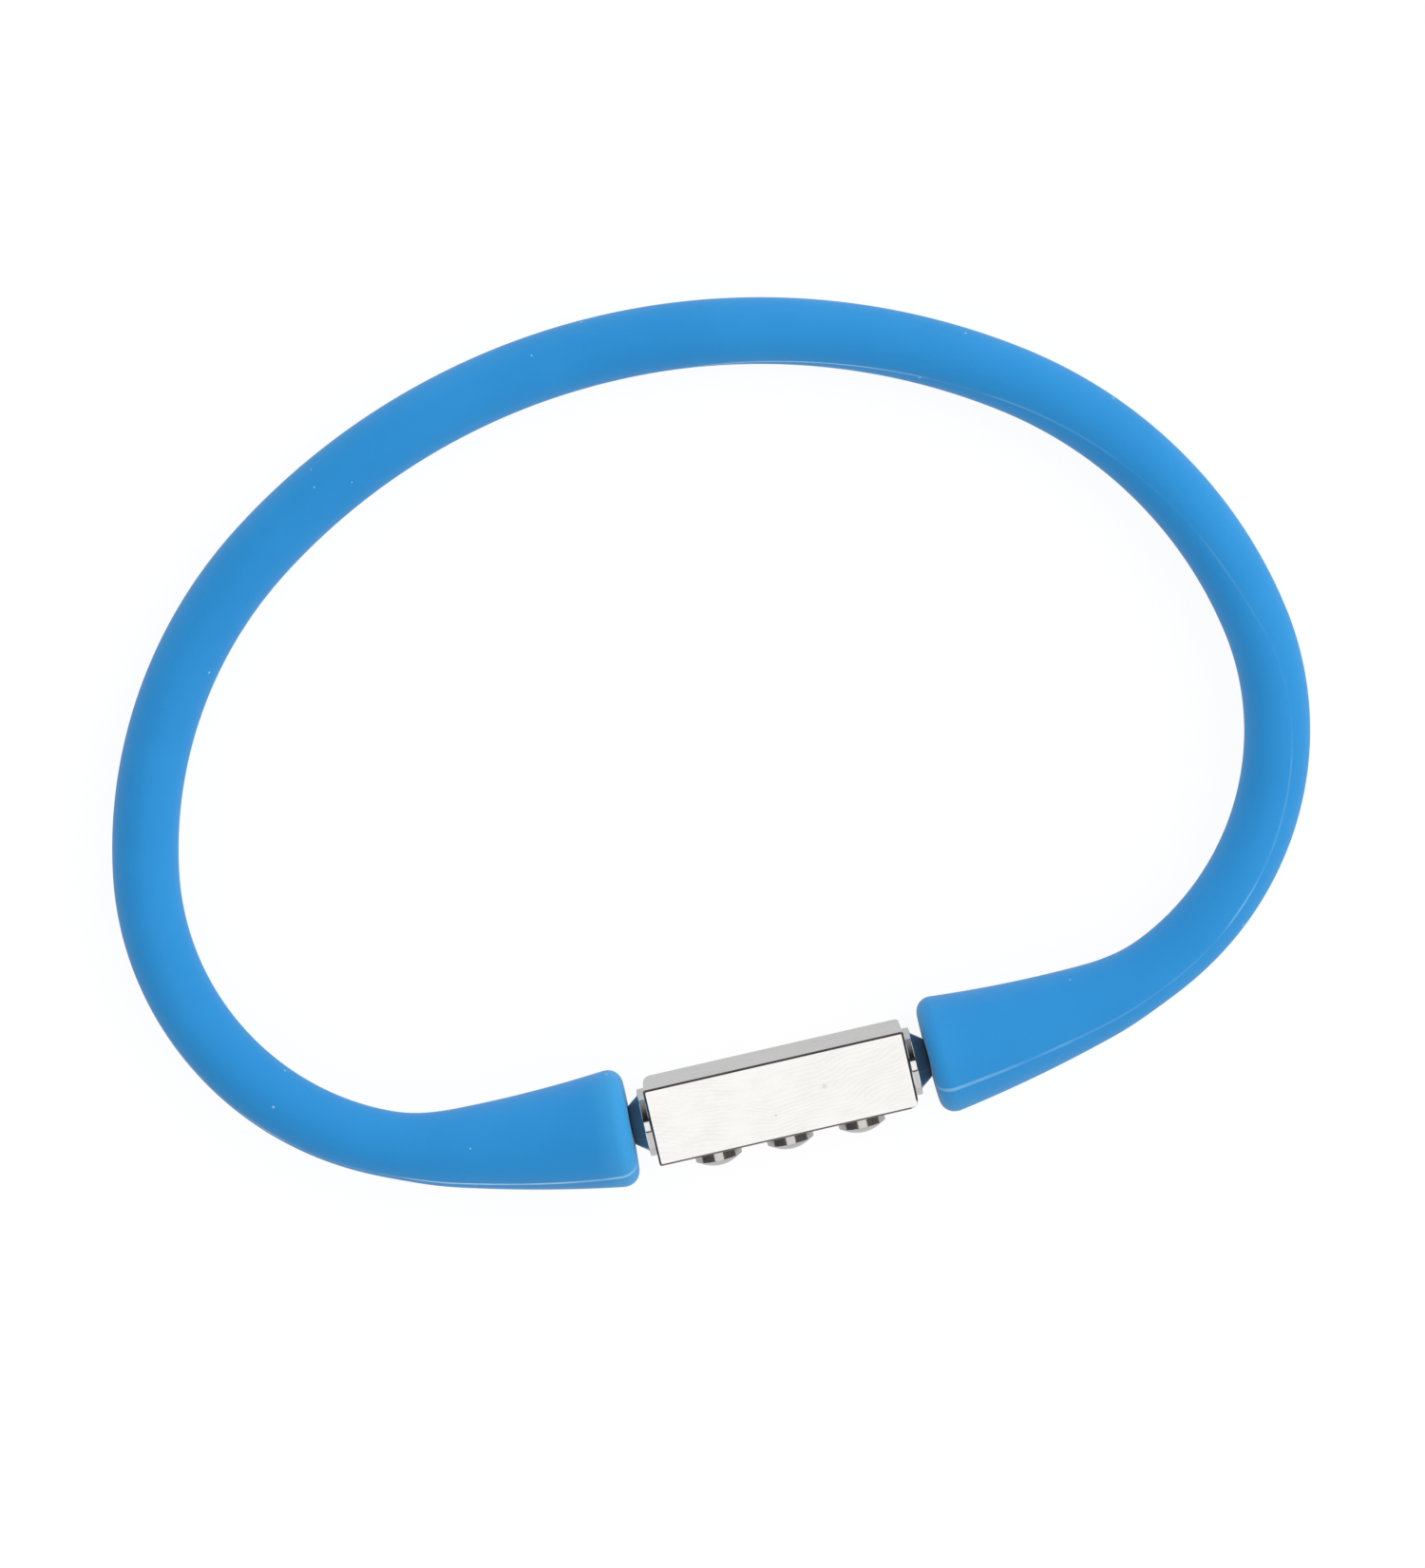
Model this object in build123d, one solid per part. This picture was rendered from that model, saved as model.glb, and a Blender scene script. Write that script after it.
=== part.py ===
from build123d import *

import os
from math import cos, radians, sin

# A silicone wristband: a round cord bent into an oval loop, whose trumpet-shaped ends push over
# barbed plugs in the ends of a square steel bar. Three domed studs stand on the bar's outward face.
# Millimetres and degrees. +X runs along the bar, +Y from the bar to the back of the loop, +Z up.

# --- Silicone strap ---------------------------------------------------------------------------
cord_d = 4.0            # plain round cord
mouth_d = 7.5           # trumpet mouth, where its cone meets the plane of its face
flare_length = 14.0     # along the cord, from the mouth's face to the plain cord
rim_round = 1.1         # rounding of the mouth's outer rim
flare_stations = 9      # sections that the flare is lofted through

# The loop's centre line, from a mouth to the middle of the back: arcs that meet tangentially.
# A fourth arc, worked out below, closes the loop at the middle of the back.
mouth_heading = 2.0     # the mouths' faces lean this much off square to the bar
flare_bend_r, flare_bend_turn = 84.0, 7.2
side_bend_r, side_bend_turn = 17.8, 91.3
shoulder_bend_r, shoulder_bend_turn = 27.3, 44.8
flex_turn = 25.0        # part of the back, right of its middle, where the strap bends to open

# --- Steel bar --------------------------------------------------------------------------------
bar_length = 16.2
bar_side = 4.8
bar_end_round = 0.15    # edges of the two end faces
bar_edge_round = 0.12   # four long edges

# --- End plugs --------------------------------------------------------------------------------
spigot_d, spigot_length = 2.4, 2.5      # screwed into the bar's end
collar_d, collar_length = 4.2, 0.43
collar_round = 0.12
cone_d, cone_tip_d, cone_length = 3.55, 2.35, 0.7
mouth_gap = 0.1         # neck that shows between the cone and the silicone
neck_d, neck_depth = 2.2, 1.2           # depth of the neck inside the mouth
barb_d, barb_tip_d, barb_length = 3.2, 1.8, 2.6
socket_clearance = 0.05                 # all round the neck and the barb
bore_relief = 0.3                       # left free at the bottom of each drilled hole

# --- Studs ------------------------------------------------------------------------------------
stud_count = 3
stud_pitch = 4.5
stud_d, stud_wall, stud_dome = 2.9, 0.68, 0.5
shank_d, shank_length = 1.2, 1.5        # pressed into the bar

cord_r = cord_d / 2
mouth_r = mouth_d / 2
bar_end_x = bar_length / 2
collar_end_x = bar_end_x + collar_length
cone_end_x = collar_end_x + cone_length
mouth_x = cone_end_x + mouth_gap
neck_end_x = mouth_x + neck_depth
barb_end_x = neck_end_x + barb_length


class Arc:
    """One arc of the centre line, turning left from one heading to the next (degrees from +X)."""

    def __init__(self, start, radius, heading, turn):
        self.radius, self.heading, self.turn = radius, heading, turn
        self.centre = start + Vector(-sin(radians(heading)), cos(radians(heading))) * radius

    def point(self, turned):
        angle = radians(self.heading + turned)
        return self.centre + Vector(sin(angle), -cos(angle)) * self.radius

    def section(self, turned, section_r):
        """A round face square to the arc, after that much of its turn."""
        angle = radians(self.heading + turned)
        plane = Plane(self.point(turned), x_dir=(0, 0, 1), z_dir=(cos(angle), sin(angle), 0))
        return plane * Circle(section_r)


def half_loop():
    """The four arcs of the right half. The last one's centre is on the loop's middle line."""
    arcs, start, heading = [], Vector(mouth_x, 0), mouth_heading
    bends = (
        (flare_bend_r, flare_bend_turn),
        (side_bend_r, side_bend_turn),
        (shoulder_bend_r, shoulder_bend_turn),
    )
    for radius, turn in bends:
        arc = Arc(start, radius, heading, turn)
        arcs.append(arc)
        start, heading = arc.point(turn), heading + turn
    back_r = start.X / sin(radians(heading))
    arcs.append(Arc(start, back_r, heading, 180 - heading))
    return arcs


ARCS = half_loop()
BACK = ARCS[-1]
MIRROR = Plane.YZ


def place_at(length):
    """The arc that is a given length along the half loop, and how far round it that is."""
    for arc in ARCS:
        arc_length = arc.radius * radians(arc.turn)
        if length <= arc_length:
            return arc, length / arc_length * arc.turn
        length -= arc_length
    return BACK, BACK.turn


def bent_cord(arc, start, end):
    """Plain cord along an arc, between two of its turns."""
    axis = Axis(arc.centre, (0, 0, 1))
    return revolve(arc.section(start, cord_r), axis, end - start)


def turned(profile):
    """A solid turned about X from points of (x, radius)."""
    outline = Polyline(*[(x, r) for x, r in profile], close=True)
    return revolve(make_face(outline), Axis.X, 360)


def plug_socket():
    """The cavity in the right-hand mouth: the neck's hole, then the barb's chamber."""
    gap = socket_clearance
    return turned([
        (mouth_x - rim_round, 0),
        (mouth_x - rim_round, neck_d / 2 + gap),
        (neck_end_x - gap, neck_d / 2 + gap),
        (neck_end_x - gap, barb_d / 2 + gap),
        (barb_end_x + gap, barb_tip_d / 2 + gap),
        (barb_end_x + gap, 0),
    ])


def trumpet_end():
    """The right-hand end of the strap, from the mouth to the plain cord."""
    sections = []
    for index in range(flare_stations + 1):
        share = index / flare_stations
        arc, turned_by = place_at(share * flare_length)
        sections.append(arc.section(turned_by, mouth_r + share * (cord_r - mouth_r)))
    horn = loft(sections)
    rim = horn.faces().sort_by_distance((mouth_x, 0, 0))[0].edges()
    return fillet(rim, rim_round) - plug_socket()


def arm(last_turn):
    """Plain cord from the right-hand flare to a given turn of the back's arc."""
    first_arc, first_turn = place_at(flare_length)
    first = ARCS.index(first_arc)
    cord = bent_cord(first_arc, first_turn, first_arc.turn)
    for arc in ARCS[first + 1:-1]:
        cord += bent_cord(arc, 0, arc.turn)
    return cord + bent_cord(BACK, 0, last_turn)


def steel_bar():
    bar = Box(bar_length, bar_side, bar_side)
    bar = fillet(bar.edges().filter_by(Axis.X, reverse=True), bar_end_round)
    bar = fillet(bar.edges().filter_by(Axis.X).group_by(SortBy.LENGTH)[-1], bar_edge_round)
    bore_depth = spigot_length + bore_relief
    bore = turned([
        (bar_end_x - bore_depth, 0),
        (bar_end_x - bore_depth, spigot_d / 2),
        (bar_end_x + bore_relief, spigot_d / 2),
        (bar_end_x + bore_relief, 0),
    ])
    bar -= bore
    bar -= bore.mirror(MIRROR)
    face = Plane((0, -bar_side / 2, 0), x_dir=(1, 0, 0), z_dir=(0, 1, 0))
    for x in stud_places():
        bar -= extrude(face * Pos(x, 0) * Circle(shank_d / 2), shank_length + bore_relief)
    return bar


def end_plug():
    """The right-hand plug: spigot, collar, cone, neck and barbed head, turned in one."""
    rounded = collar_round
    return turned([
        (bar_end_x - spigot_length, 0),
        (bar_end_x - spigot_length, spigot_d / 2),
        (bar_end_x, spigot_d / 2),
        (bar_end_x, collar_d / 2 - rounded),
        (bar_end_x + rounded, collar_d / 2),
        (collar_end_x - rounded, collar_d / 2),
        (collar_end_x, collar_d / 2 - rounded),
        (collar_end_x, cone_d / 2),
        (cone_end_x, cone_tip_d / 2),
        (cone_end_x, neck_d / 2),
        (neck_end_x, neck_d / 2),
        (neck_end_x, barb_d / 2),
        (barb_end_x, barb_tip_d / 2),
        (barb_end_x, 0),
    ])


def stud_places():
    return [(index - (stud_count - 1) / 2) * stud_pitch for index in range(stud_count)]


def stud(x):
    """A domed stud on the bar's outward face, with its shank in the bar."""
    head_r, shank_r, top = stud_d / 2, shank_d / 2, stud_wall + stud_dome
    middle_r = (head_r**2 + stud_dome**2) / (2 * stud_dome)
    half_way = head_r / 2
    half_height = top - middle_r + (middle_r**2 - half_way**2) ** 0.5
    with BuildSketch(Plane.XY) as half:
        with BuildLine():
            Polyline(
                (0, top), (0, -shank_length), (shank_r, -shank_length), (shank_r, 0),
                (head_r, 0), (head_r, stud_wall),
            )
            ThreePointArc((head_r, stud_wall), (half_way, half_height), (0, top))
        make_face()
    solid = revolve(half.sketch, Axis.Y, 360)
    seat = Pos(x, -bar_side / 2, 0) * Rot(180, 0, 0)
    return seat * solid


def all_pieces():
    right_end = trumpet_end()
    plug = end_plug()
    pieces = {
        "strap_left_end": right_end.mirror(MIRROR),
        "strap_left_arm": arm(BACK.turn).mirror(MIRROR),
        "strap_back_flex": bent_cord(BACK, BACK.turn - flex_turn, BACK.turn),
        "strap_right_arm": arm(BACK.turn - flex_turn),
        "strap_right_end": right_end,
        "steel_bar": steel_bar(),
        "left_end_plug": plug.mirror(MIRROR),
        "right_end_plug": plug,
    }
    for name, x in zip(("left_stud", "middle_stud", "right_stud"), stud_places()):
        pieces[name] = stud(x)
    return pieces


PIECES = all_pieces()
# The origin is under the middle of the whole object's box, at the height that its base rests on.
whole = Compound(list(PIECES.values())).bounding_box()
to_origin = Vector(-whole.center().X, -whole.center().Y, -whole.min.Z)

os.makedirs("parts", exist_ok=True)
for name, piece in PIECES.items():
    export_step(piece.moved(Location(to_origin)), f"parts/{name}.step")

hinge = BACK.point(BACK.turn - flex_turn / 2) + to_origin
print("shift to the origin", to_origin)
print("bar axis", Vector(0, 0, 0) + to_origin, "mouth at", mouth_x)
print("strap hinge", hinge)
print("size", whole.size, "back arc radius", round(BACK.radius, 3))
print("cord along its middle", round(2 * sum(a.radius * radians(a.turn) for a in ARCS), 2))
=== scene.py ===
# %% [markdown]
# # A silicone wristband with a square steel bar
#
# The band is a round silicone cord, moulded with a trumpet mouth at each end. The mouths push over
# barbed plugs in the ends of a polished steel bar, and three domed studs stand on the bar's outward
# face. The imported CAD model gives the places and the motion, and this script gives the looks. It is
# loaded first, because the metal pieces made below ride on one of its bodies.

# %% Load the frame
from math import cos, pi, radians, sin, sqrt, tan

import bmesh
import bpy
from mathutils import Matrix, Vector


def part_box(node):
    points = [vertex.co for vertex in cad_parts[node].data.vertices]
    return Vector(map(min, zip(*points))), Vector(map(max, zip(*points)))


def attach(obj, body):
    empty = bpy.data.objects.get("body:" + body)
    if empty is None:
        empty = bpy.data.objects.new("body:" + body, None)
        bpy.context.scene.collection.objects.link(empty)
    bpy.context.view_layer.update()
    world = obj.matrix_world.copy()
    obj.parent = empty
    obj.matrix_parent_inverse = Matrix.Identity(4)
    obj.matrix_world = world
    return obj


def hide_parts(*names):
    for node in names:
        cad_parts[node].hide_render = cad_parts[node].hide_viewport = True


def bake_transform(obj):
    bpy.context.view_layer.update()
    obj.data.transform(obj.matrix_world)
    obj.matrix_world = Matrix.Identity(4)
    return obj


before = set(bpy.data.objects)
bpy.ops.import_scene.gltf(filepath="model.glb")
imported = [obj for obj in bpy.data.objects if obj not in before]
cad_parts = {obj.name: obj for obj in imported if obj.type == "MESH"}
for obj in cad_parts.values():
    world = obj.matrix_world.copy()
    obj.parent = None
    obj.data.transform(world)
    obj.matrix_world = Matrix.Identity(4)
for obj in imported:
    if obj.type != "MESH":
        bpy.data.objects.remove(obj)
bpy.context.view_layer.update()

# %% [markdown]
# ## Sizes and places
#
# The bar's centre and lengths come from the CAD nodes' boxes. What a box can't give, such as the
# bends of the loop, is repeated here as named values. Everything is in metres, so MM turns a
# maker's millimetres into metres.

# %% Measure the frame
MM = 0.001

bar_low, bar_high = (Vector(corner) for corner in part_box("steel_bar"))
bar_centre = (bar_low + bar_high) / 2
bar_size = bar_high - bar_low
plug_low, plug_high = (Vector(corner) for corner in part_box("right_end_plug"))
stud_low, stud_high = (Vector(corner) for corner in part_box("middle_stud"))
stud_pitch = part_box("right_stud")[0][0] - stud_low.x

cord_r = 2.0 * MM
mouth_r = 3.75 * MM
flare_length = 14.0 * MM
rim_round = 1.1 * MM

collar_r, collar_length = (plug_high.z - plug_low.z) / 2, 0.43 * MM
cone_r, cone_tip_r, cone_length = 1.775 * MM, 1.175 * MM, 0.7 * MM
mouth_gap = 0.1 * MM
neck_r, neck_depth = 1.1 * MM, 1.2 * MM
barb_r, barb_tip_r, barb_length = 1.6 * MM, 0.9 * MM, 2.6 * MM
socket_clearance = 0.05 * MM

mouth_x = bar_size.x / 2 + collar_length + cone_length + mouth_gap
print("bar", [round(side / MM, 2) for side in bar_size], "mouths at", round(mouth_x / MM, 2))

# %% [markdown]
# ## The loop's centre line
#
# A cord that is held at both ends bends smoothly, with its tightest bend at the sides and its
# slackest at the back. Three arcs that meet tangentially follow that, and a fourth, whose centre is
# on the middle line, closes the loop at the back. One half is worked out and the other is its mirror.

# %% Work out the arcs
BENDS = (  # radius and turn in degrees, from the mouth round to the shoulder
    (84.0 * MM, 7.2),
    (17.8 * MM, 91.3),
    (27.3 * MM, 44.8),
)
MOUTH_HEADING = 2.0


def half_loop():
    """The right half's arcs as (centre, radius, first heading, last heading), from the mouth."""
    arcs, place, heading = [], Vector((mouth_x, 0, 0)), radians(MOUTH_HEADING)
    for radius, turn in BENDS:
        centre = place + Vector((-sin(heading), cos(heading), 0)) * radius
        last = heading + radians(turn)
        arcs.append((centre, radius, heading, last))
        place, heading = centre + Vector((sin(last), -cos(last), 0)) * radius, last
    radius = place.x / sin(heading)
    centre = place + Vector((-sin(heading), cos(heading), 0)) * radius
    return arcs + [(centre, radius, heading, pi)]


ARCS = half_loop()
half_length = sum(radius * (last - first) for _, radius, first, last in ARCS)


def along_half(length):
    """The centre line's point at a length from the right-hand mouth, up to the back's middle."""
    for centre, radius, first, last in ARCS:
        arc_length = radius * (last - first)
        if length <= arc_length or last == pi:
            heading = first + min(length / arc_length, 1) * (last - first)
            return centre + Vector((sin(heading), -cos(heading), 0)) * radius
        length -= arc_length


def along_loop(length):
    """The centre line's point in the row frame, from the right-hand mouth to the left-hand one."""
    point = along_half(min(length, 2 * half_length - length))
    if length > half_length:
        point.x = -point.x
    return point + bar_centre


print("cord", round(2 * half_length / MM, 1), "mm along its middle")

# %% [markdown]
# ## A small way to write node trees
#
# Shader and geometry maths are easier to read as formulas than as nodes. Wire wraps a socket and
# turns Python's operators into Math nodes. Graph makes every other node with one method, which
# takes the node's type, its settings and what goes into its sockets.


# %% Wire and Graph
class Wire:
    """An output socket, so that maths on it reads as maths."""

    def __init__(self, graph, socket):
        self.graph, self.socket = graph, socket

    def __add__(self, other):
        return self.graph.maths("ADD", self, other)

    def __sub__(self, other):
        return self.graph.maths("SUBTRACT", self, other)

    def __rsub__(self, other):
        return self.graph.maths("SUBTRACT", other, self)

    def __mul__(self, other):
        return self.graph.maths("MULTIPLY", self, other)

    def __truediv__(self, other):
        return self.graph.maths("DIVIDE", self, other)

    def __lt__(self, other):
        return self.graph.maths("LESS_THAN", self, other)

    def __gt__(self, other):
        return self.graph.maths("GREATER_THAN", self, other)

    __radd__, __rmul__ = __add__, __mul__

    def least(self, other):
        return self.graph.maths("MINIMUM", self, other)

    def most(self, other):
        return self.graph.maths("MAXIMUM", self, other)

    def apply(self, operation):
        """A Math operation on this value alone, such as SINE or ABSOLUTE."""
        return self.graph.maths(operation, self)

    def ramp(self, low, high):
        """0 below low, 1 above high, and smooth between them."""
        return self.graph.node(
            "ShaderNodeMapRange",
            {"interpolation_type": "SMOOTHSTEP"},
            {"Value": self, "From Min": low, "From Max": high},
        )["Result"]


class Made:
    """A node that was just made. Its outputs are read by name, as Wires."""

    def __init__(self, graph, node):
        self.graph, self.node = graph, node

    def __getitem__(self, name):
        return Wire(self.graph, self.node.outputs[name])


class Graph:
    """A node tree that is being wired: a material's, the world's or a modifier's."""

    def __init__(self, tree):
        self.tree = tree

    def node(self, kind, settings=None, inputs=None):
        made = self.tree.nodes.new(kind)
        for name, value in (settings or {}).items():
            setattr(made, name, value)
        for name, value in (inputs or {}).items():
            if isinstance(value, Wire):
                self.tree.links.new(value.socket, made.inputs[name])
            else:
                made.inputs[name].default_value = value
        return Made(self, made)

    def maths(self, operation, *values):
        return self.node("ShaderNodeMath", {"operation": operation}, dict(enumerate(values)))["Value"]

    def curve(self, value, points, low=0.0, high=1.0):
        """A smooth curve through (value, height) points, whose heights lie between low and high."""
        made = self.node("ShaderNodeFloatCurve", None, {"Value": value})
        shape = made.node.mapping.curves[0]
        scaled = [(at, (height - low) / (high - low)) for at, height in points]
        shape.points[0].location, shape.points[1].location = scaled[0], scaled[-1]
        for at, height in scaled[1:-1]:
            shape.points.new(at, height)
        made.node.mapping.update()
        return made["Value"] * (high - low) + low

    def mix(self, factor, first, second):
        """A colour between two, each a Wire or four numbers."""
        node = self.node("ShaderNodeMix", {"data_type": "RGBA"}, {0: factor, 6: first, 7: second})
        return Wire(self, node.node.outputs[2])


print("node helpers ready")

# %% [markdown]
# ## Helpers for materials
#
# Every material starts with an empty tree and ends in an output. In between they share a few
# patterns: noise, an attribute that the mesh carries, and small round dots. The dots come from a
# Voronoi pattern about a millimetre to the cell, most of whose cells are left bare by their random
# colour, so that they look scattered and not printed. All read Object coordinates.


# %% Material helpers
DOT_CELLS = 900.0         # cells to a metre


def new_material(name):
    material = bpy.data.materials.new(name)
    material.use_nodes = True
    material.node_tree.nodes.clear()
    return material, Graph(material.node_tree)


def finish_material(graph, shader):
    graph.node("ShaderNodeOutputMaterial", None, {"Surface": shader})


def object_place(graph):
    return graph.node("ShaderNodeTexCoord")["Object"]


def attribute(graph, name):
    return graph.node("ShaderNodeAttribute", {"attribute_name": name})["Fac"]


def noise(graph, place, scale, detail=3.0, roughness=0.5):
    inputs = {"Vector": place, "Scale": scale, "Detail": detail, "Roughness": roughness}
    return graph.node("ShaderNodeTexNoise", None, inputs)["Fac"]


def dots(graph, place, size, bare, channel):
    """1 in a dot. Size is a share of a cell, and bare the share of the cells without a dot."""
    cells = graph.node("ShaderNodeTexVoronoi", None, {"Vector": place, "Scale": DOT_CELLS})
    chosen = graph.node("ShaderNodeSeparateColor", None, {"Color": cells["Color"]})[channel]
    return (cells["Distance"] < size) * (chosen > bare)


def bumped(graph, height, strength, depth):
    """Normals for a height that varies from 0 to 1, as if that were so many metres deep."""
    inputs = {"Strength": strength, "Distance": depth, "Height": height}
    return graph.node("ShaderNodeBump", None, inputs)["Normal"]


print("dots", round(1 / DOT_CELLS / MM, 2), "mm apart")

# %% [markdown]
# ## Silicone
#
# The strap is matt coloured silicone rubber. It is opaque but a little light goes in and comes out
# again, which softens its shading. Pigment is never quite even, so the blue wanders by a few
# percent over a centimetre or so. Towards the mouths' rounded lips the blue is painted paler, a
# painted sheen, weaker at the right-hand mouth. Silicone also draws dust, so a few pale specks of lint
# lie on it. The thin line where the mould's halves met is painted paler too, a painted highlight
# where its fin catches the light, and it comes and goes along the strap.


# %% Blue silicone
DEEP_BLUE, PALE_BLUE = (0.010, 0.240, 0.580, 1), (0.014, 0.262, 0.622, 1)
# Painted light: a paler blue for the painted sheen at the mouths' lips, and a pale blue for the
# painted highlight on the mould's line.
LIP_SHEEN_BLUE, LINE_HIGHLIGHT_BLUE = (0.034, 0.322, 0.670, 1), (0.46, 0.75, 0.97, 1)
LINT_TONE = (0.42, 0.66, 0.90, 1)
# Scales of noise, in spans to a metre, so a larger one is finer.
CLOUD_SCALE, GRAIN_SCALE, LONG_SCALE, SHORT_SCALE = 90.0, 2600.0, 150.0, 1100.0


def line_highlight(graph, place):
    """How strongly the painted highlight on the mould's line shows, from 0 to 1."""
    # Noise breaks the painted highlight up along the strap.
    long_breaks = noise(graph, place, LONG_SCALE, 2.0).ramp(0.38, 0.62)
    short_breaks = noise(graph, place, SHORT_SCALE, 2.0)
    broken_up = (long_breaks * 0.75 + short_breaks * 0.5).least(1.0)
    return attribute(graph, "seam").ramp(0.35, 0.9) * broken_up * attribute(graph, "seam_strength")


def silicone():
    material, graph = new_material("blue_silicone")
    place = object_place(graph)
    cloud = noise(graph, place, CLOUD_SCALE)
    grain = noise(graph, place, GRAIN_SCALE, 2.0)
    lint = dots(graph, place, size=0.075, bare=0.82, channel="Red")
    blue = graph.mix(cloud.ramp(0.3, 0.7), DEEP_BLUE, PALE_BLUE)
    # Painted sheen: the blue turns paler towards the mouths' lips.
    blue = graph.mix(attribute(graph, "lip").ramp(0.0, 0.8) * 0.8, blue, LIP_SHEEN_BLUE)
    blue = graph.mix(lint * 0.55, blue, LINT_TONE)
    # Painted highlight: the mould's line is painted pale where its fin catches the light.
    blue = graph.mix(line_highlight(graph, place) * 0.95, blue, LINE_HIGHLIGHT_BLUE)
    shader = graph.node("ShaderNodeBsdfPrincipled", None, {
        "Base Color": blue,
        "Roughness": 0.52 + grain * 0.1,
        "IOR": 1.41,
        "Specular IOR Level": 0.4,
        "Sheen Weight": 0.10,
        "Sheen Roughness": 0.45,
        "Subsurface Weight": 0.12,
        "Subsurface Radius": (0.2, 0.6, 1.0),
        "Subsurface Scale": 0.8 * MM,
        "Normal": bumped(graph, cloud * 0.15 + grain * 0.25, strength=0.12, depth=0.02 * MM),
    })
    finish_material(graph, shader["BSDF"])
    return material


SILICONE = silicone()
print("made", SILICONE.name)

# %% [markdown]
# ## Polished steel
#
# The bar, plugs and studs are stainless steel, polished on a wheel. A polished face is nearly a
# mirror, and what tells it from glass is the fine work on it: hair-thin buffing marks that wander,
# arcs where the wheel was held still, a few tiny pits, and a slow waviness that the wheel leaves.
# The hairs are noise that is stretched one way and bent by more noise. The arcs are a Wave texture's
# rings, faded in and out. One function makes all three finishes, which differ in how bright the
# metal is, how deep the marks are and which way they run.


# %% Helpers for the metal
WANDER_SCALE, HAIR_SCALE, WHEEL_SCALE, PATCH_SCALE = 160.0, 1500.0, 1250.0, 260.0
WANDER_REACH = 3.0 * MM


def buffing_hairs(graph, place, stretch):
    """Hair-thin marks, drawn out along the axis whose stretch is least."""
    wander = graph.node("ShaderNodeTexNoise", None, {"Vector": place, "Scale": WANDER_SCALE})["Color"]
    swirl = graph.node("ShaderNodeVectorMath", {"operation": "MULTIPLY_ADD"}, {
        0: wander, 1: (WANDER_REACH,) * 3, 2: place,
    })["Vector"]
    drawn = graph.node("ShaderNodeMapping", None, {"Vector": swirl, "Scale": stretch})["Vector"]
    return noise(graph, drawn, HAIR_SCALE, detail=4.0, roughness=0.65)


def wheel_arcs(graph, place):
    """Evenly spaced arcs, in patches."""
    rings = graph.node("ShaderNodeTexWave", {"wave_type": "RINGS", "rings_direction": "SPHERICAL"}, {
        "Vector": place, "Scale": WHEEL_SCALE, "Distortion": 14.0, "Detail": 2.0, "Detail Scale": 0.3,
    })["Fac"]
    return rings * noise(graph, place, PATCH_SCALE, 2.0).ramp(0.36, 0.58)


print("helpers for the metal ready")

# %% [markdown]
# ## Three finishes
#
# In the broken edges of the bar, on the plugs' cones and on the studs' walls the steel is a little
# rougher, and its colour is darkened there: a painted shade, for the dark things those parts
# mirror. The meshes mark those places with an attribute, and each finish has a shade tone for them.

# %% Materials for the metal
WAVE_SCALE = 240.0
PIT_TONE = (0.35, 0.34, 0.33, 1)
MARK_BRIGHTNESS = 0.92    # of a buffing mark, beside the metal round it


def polished_steel(name, bright, painted_shade_tone, roughness, marks, stretch):
    """The metal's colour, the darker colour painted as shade on the marked parts, and the marks' depth
    and direction.
    """
    material, graph = new_material(name)
    place = object_place(graph)
    hairs = buffing_hairs(graph, place, stretch)
    waves = noise(graph, place, WAVE_SCALE, 2.0)
    pit = dots(graph, place, size=0.12, bare=0.9, channel="Green")
    unpolished = attribute(graph, "unpolished")
    marked = tuple(MARK_BRIGHTNESS * part for part in bright)
    shading = (hairs.ramp(0.35, 0.75) * 0.6 + wheel_arcs(graph, place) * 0.6).least(1.0)
    tone = graph.mix(shading, bright + (1,), marked + (1,))
    tone = graph.mix(pit * 0.25, tone, PIT_TONE)
    # Painted shade: the marked parts take the darker colour.
    tone = graph.mix(unpolished, tone, painted_shade_tone + (1,))
    relief = hairs * 0.5 + waves * 1.5 - pit * 0.4
    shader = graph.node("ShaderNodeBsdfPrincipled", None, {
        "Base Color": tone,
        "Metallic": 1 - unpolished * 0.1,
        "Roughness": roughness + hairs * 0.08 + unpolished * 0.05,
        "Normal": bumped(graph, relief, strength=marks, depth=0.01 * MM),
    })
    finish_material(graph, shader["BSDF"])
    return material


# Painted shade: darker steel colours for the bar's broken top edge, the plugs' cones and the studs'
# walls, standing in for the dark things that they mirror.
EDGE_SHADE_TONE, CONE_SHADE_TONE, WALL_SHADE_TONE = (0.20, 0.18, 0.17), (0.42, 0.36, 0.34), (0.60, 0.57, 0.55)
BAR_STEEL = polished_steel(
    "bar_steel", (0.86, 0.855, 0.85), EDGE_SHADE_TONE,
    roughness=0.07, marks=0.25, stretch=(0.35, 1.0, 1.0),
)
PLUG_STEEL = polished_steel(
    "plug_steel", (0.80, 0.79, 0.78), CONE_SHADE_TONE,
    roughness=0.05, marks=0.12, stretch=(2.5, 0.3, 0.3),
)
STUD_STEEL = polished_steel(
    "stud_steel", (0.74, 0.74, 0.75), WALL_SHADE_TONE,
    roughness=0.06, marks=0.12, stretch=(0.3, 2.5, 0.3),
)
print("made", BAR_STEEL.name, PLUG_STEEL.name, STUD_STEEL.name)

# %% [markdown]
# ## Running a Geometry Nodes tree
#
# Each tree has named inputs for its sizes, so it can be used again at other sizes. A modifier's
# input is set by its socket's identifier, and all are set before the object is first evaluated.
# The result is turned into a plain mesh, because the exported model keeps only plain meshes.


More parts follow.
